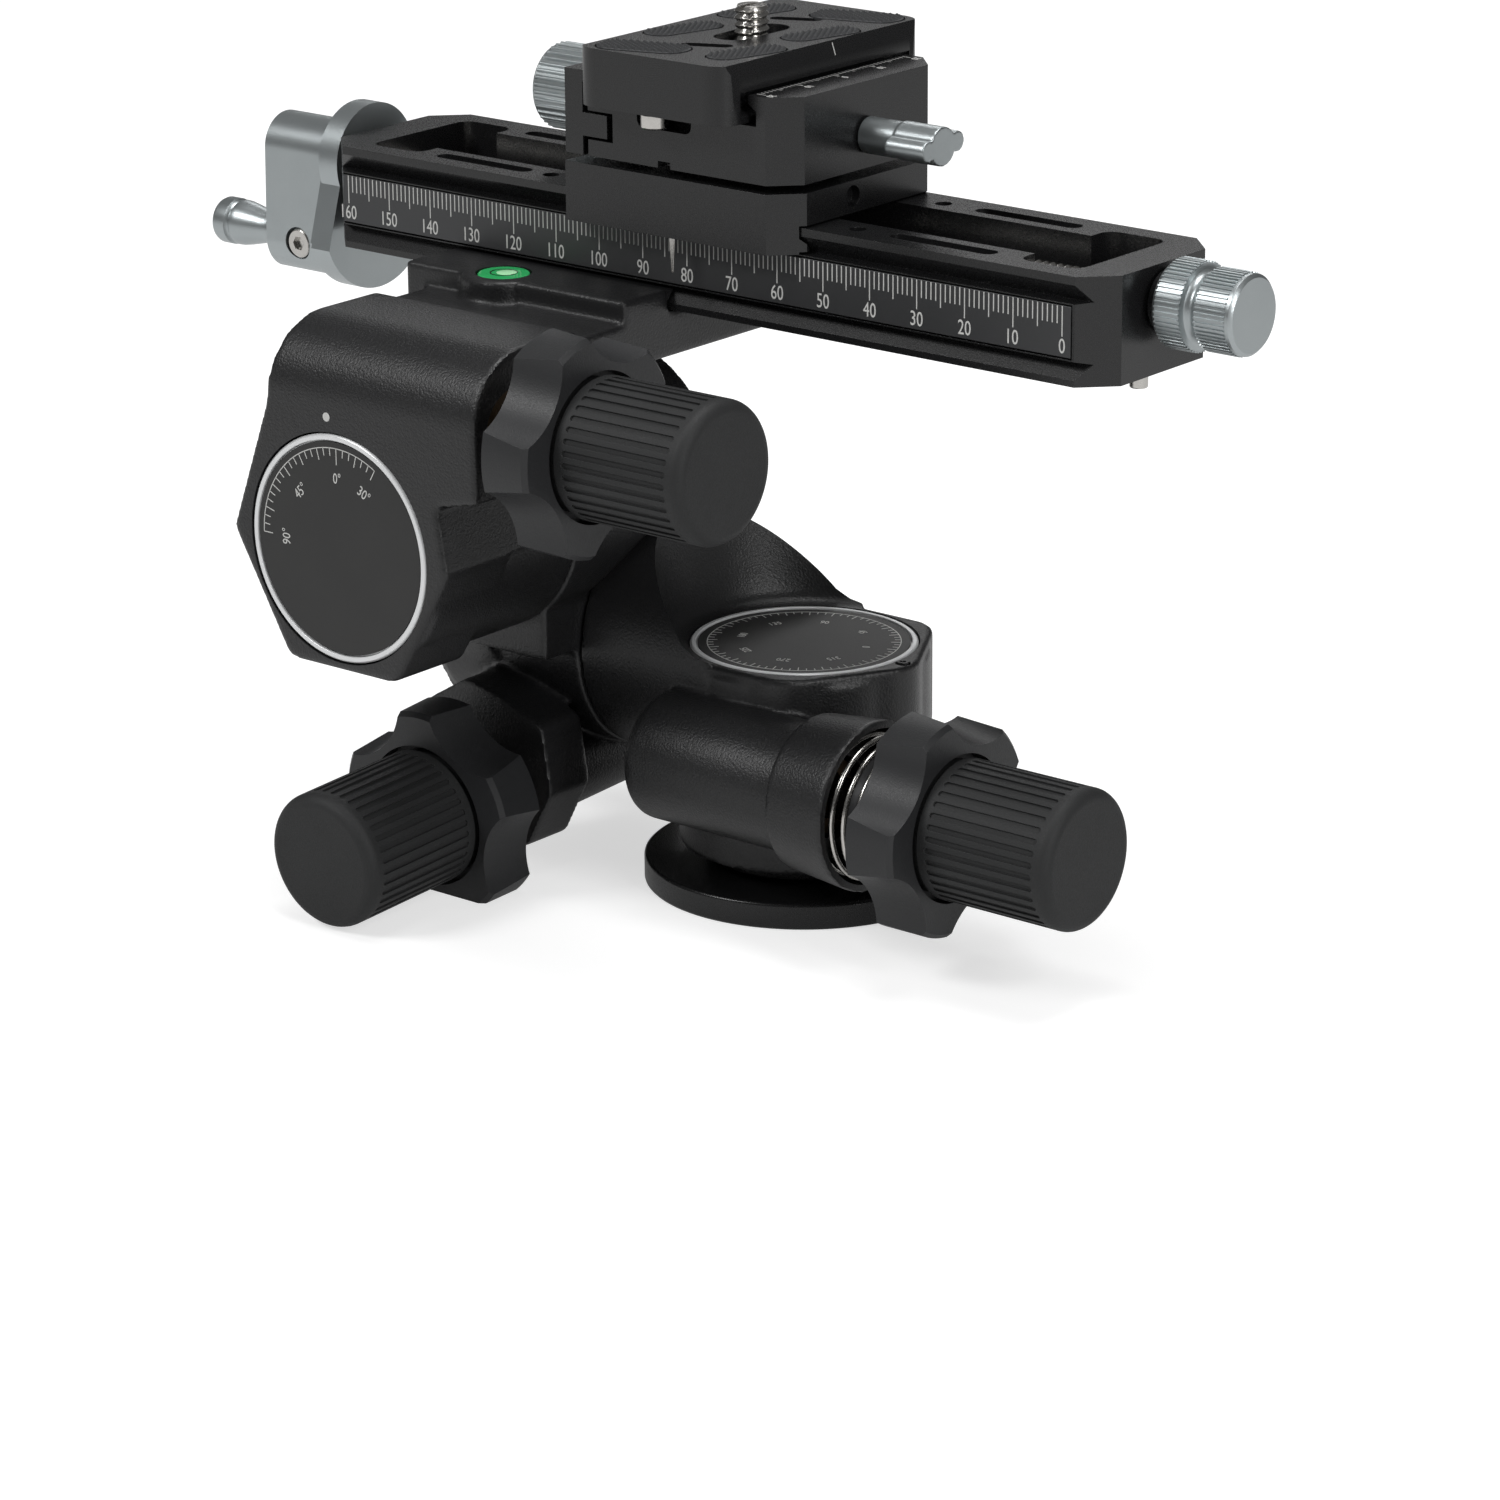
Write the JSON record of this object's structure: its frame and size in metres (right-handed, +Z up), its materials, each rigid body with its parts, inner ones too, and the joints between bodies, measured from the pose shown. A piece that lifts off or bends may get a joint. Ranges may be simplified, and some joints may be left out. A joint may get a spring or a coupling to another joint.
{
  "type": "geared tripod head",
  "caption": "Geared three-way tripod head with worm-driven pan, tilt and roll stages, a screw-driven macro rail with millimetre scale, and a quick-release camera plate.",
  "frame": {"origin": "centre of the base disc's underside, on the panning axis", "axes": "+Z up along the panning axis, +X along the rail towards its zero mark, +Y away from the rolling stage's dial"},
  "size_m": [0.2348, 0.1195, 0.1615],
  "materials": {
    "cast_black": "satin black painted casting",
    "anodised_black": "black anodised, satin",
    "collar_black": "satin black",
    "knob_rubber": "matt dark rubber",
    "bright_steel": "bright, unpainted",
    "silver_alloy": "pale grey-green anodised",
    "bearing_bronze": "plain bearing bronze",
    "dial_black": "matt dark grey",
    "pad_rubber": "matt grey ribbed rubber",
    "vial_green": "clear green liquid under a cap",
    "scale_strip": "dark anodised strip with white engraving"
  },
  "bodies": {
    "base": {"base_disc": "anodised_black", "base_thread_bush": "bright_steel", "pan_spindle": "bright_steel", "pan_wheel": "bearing_bronze", "pan_dial_ring": "silver_alloy", "pan_dial": "dial_black"},
    "pan_stage": {"pan_housing": "cast_black", "pan_bearing": "bearing_bronze", "pan_index_screw": "bright_steel", "pan_worm_bush": "bearing_bronze", "pan_spring": "bright_steel", "tilt_shaft": "bright_steel", "tilt_wheel": "bearing_bronze", "tilt_dial_ring": "silver_alloy", "tilt_dial": "dial_black"},
    "pan_drive": {"pan_worm": "bright_steel", "pan_knob": "knob_rubber"},
    "pan_release": {"pan_collar": "collar_black"},
    "elbow": {"elbow_housing": "cast_black", "tilt_bearing": "bearing_bronze", "tilt_worm_bush": "bearing_bronze", "tilt_spring": "bright_steel", "roll_shaft": "bright_steel", "roll_wheel": "bearing_bronze", "roll_dial_ring": "silver_alloy", "roll_dial": "dial_black"},
    "tilt_drive": {"tilt_worm": "bright_steel", "tilt_knob": "knob_rubber"},
    "tilt_release": {"tilt_collar": "collar_black"},
    "roll_stage": {"roll_housing": "cast_black", "level_vial": "vial_green", "roll_bearing": "bearing_bronze", "roll_worm_bush": "bearing_bronze", "roll_spring": "bright_steel"},
    "roll_drive": {"roll_worm": "bright_steel", "roll_knob": "knob_rubber"},
    "roll_release": {"roll_collar": "collar_black"},
    "jaw": {"rear_jaw": "cast_black"},
    "jaw_screw": {"rear_jaw_knob": "anodised_black"},
    "rail": {"rail_body": "anodised_black", "scale_strip": "scale_strip", "rail_stop_pin": "bright_steel", "lead_bush": "silver_alloy"},
    "lead": {"lead_screw": "bright_steel", "fine_knob": "silver_alloy", "crank": "silver_alloy", "crank_pivot": "bright_steel"},
    "handle": {"crank_handle": "silver_alloy"},
    "slider": {"carriage": "anodised_black", "scale_pointer": "bright_steel", "drive_nut": "bearing_bronze", "clamp_block": "anodised_black", "clamp_studs": "bright_steel"},
    "plate_jaw": {"clamp_jaw": "anodised_black"},
    "plate_knob": {"clamp_knob": "silver_alloy"},
    "plate_lever": {"wing_lever": "silver_alloy"},
    "plate": {"quick_plate": "anodised_black", "plate_pads": "pad_rubber", "plate_stop_pin": "bright_steel"},
    "camera_stud": {"camera_screw": "bright_steel"}
  },
  "joints": [
    {"name": "pan_turn", "type": "hinge", "parent": "base", "child": "pan_stage", "pos_m": [0, 0, 0.03], "axis": [0, 0, 1], "continuous": true},
    {"name": "pan_knob_turn", "type": "hinge", "parent": "pan_stage", "child": "pan_drive", "pos_m": [0.06, -0.0246, 0.0273], "axis": [1, 0, 0], "continuous": true},
    {"name": "pan_collar_turn", "type": "hinge", "parent": "pan_stage", "child": "pan_release", "pos_m": [0.048, -0.0246, 0.0273], "axis": [1, 0, 0], "range_deg": [0, 30], "stiffness_Nm_per_rad": 0.4},
    {"name": "tilt_turn", "type": "hinge", "parent": "pan_stage", "child": "elbow", "pos_m": [-0.05, 0, 0.0413], "axis": [1, 0, 0], "range_deg": [-90, 30]},
    {"name": "tilt_knob_turn", "type": "hinge", "parent": "elbow", "child": "tilt_drive", "pos_m": [-0.0481, 0.0046, 0.01693], "axis": [0, -0.9988, -0.0499], "continuous": true},
    {"name": "tilt_collar_turn", "type": "hinge", "parent": "elbow", "child": "tilt_release", "pos_m": [-0.0481, 0.0046, 0.01693], "axis": [0, -0.9988, -0.0499], "range_deg": [0, 30], "stiffness_Nm_per_rad": 0.4},
    {"name": "roll_turn", "type": "hinge", "parent": "elbow", "child": "roll_stage", "pos_m": [-0.0481, -0.05, 0.0686], "axis": [0, -1, 0], "range_deg": [-22.5, 90]},
    {"name": "roll_knob_turn", "type": "hinge", "parent": "roll_stage", "child": "roll_drive", "pos_m": [0.01, -0.0582, 0.0932], "axis": [1, 0, 0], "continuous": true},
    {"name": "roll_collar_turn", "type": "hinge", "parent": "roll_stage", "child": "roll_release", "pos_m": [-0.002, -0.0582, 0.0932], "axis": [1, 0, 0], "range_deg": [0, 30], "stiffness_Nm_per_rad": 0.4},
    {"name": "jaw_slide", "type": "slide", "parent": "roll_stage", "child": "jaw", "axis": [0, 1, 0], "range_m": [0, 0.003]},
    {"name": "jaw_knob_turn", "type": "hinge", "parent": "jaw", "child": "jaw_screw", "pos_m": [-0.0406, 0.03, 0.1014], "axis": [0, 1, 0], "continuous": true},
    {"name": "rail_slide", "type": "slide", "parent": "roll_stage", "child": "rail", "axis": [1, 0, 0], "range_m": [-0.08, 0.03]},
    {"name": "slider_travel", "type": "slide", "parent": "rail", "child": "slider", "axis": [1, 0, 0], "range_m": [-0.04, 0.04]},
    {"name": "crank_turn", "type": "hinge", "parent": "rail", "child": "lead", "pos_m": [0, 0, 0.1182], "axis": [1, 0, 0], "continuous": true},
    {"name": "handle_fold", "type": "hinge", "parent": "lead", "child": "handle", "pos_m": [-0.1156, 0, 0.1012], "axis": [0, 1, 0], "range_deg": [-90, 0]},
    {"name": "plate_jaw_slide", "type": "slide", "parent": "slider", "child": "plate_jaw", "axis": [-1, 0, 0], "range_m": [0, 0.002]},
    {"name": "plate_knob_turn", "type": "hinge", "parent": "plate_jaw", "child": "plate_knob", "pos_m": [-0.045, 0, 0.1378], "axis": [1, 0, 0], "continuous": true},
    {"name": "lever_turn", "type": "hinge", "parent": "slider", "child": "plate_lever", "pos_m": [0.024, 0, 0.1378], "axis": [1, 0, 0], "range_deg": [0, 120]},
    {"name": "plate_slide", "type": "slide", "parent": "slider", "child": "plate", "axis": [0, 1, 0], "range_m": [-0.0012, 0.0012]},
    {"name": "camera_screw_turn", "type": "hinge", "parent": "plate", "child": "camera_stud", "pos_m": [-0.0111, 0, 0.15], "axis": [0, 0, 1], "continuous": true}
  ],
  "couplings": [
    {"joint": "pan_knob_turn", "follows": "pan_turn", "ratio": 48},
    {"joint": "tilt_knob_turn", "follows": "tilt_turn", "ratio": -48},
    {"joint": "roll_knob_turn", "follows": "roll_turn", "ratio": -48},
    {"joint": "crank_turn", "follows": "slider_travel", "rad_per_m": -4188.8},
    {"joint": "jaw_knob_turn", "follows": "jaw_slide", "rad_per_m": 6283.2},
    {"joint": "plate_knob_turn", "follows": "plate_jaw_slide", "rad_per_m": -8976}
  ]
}
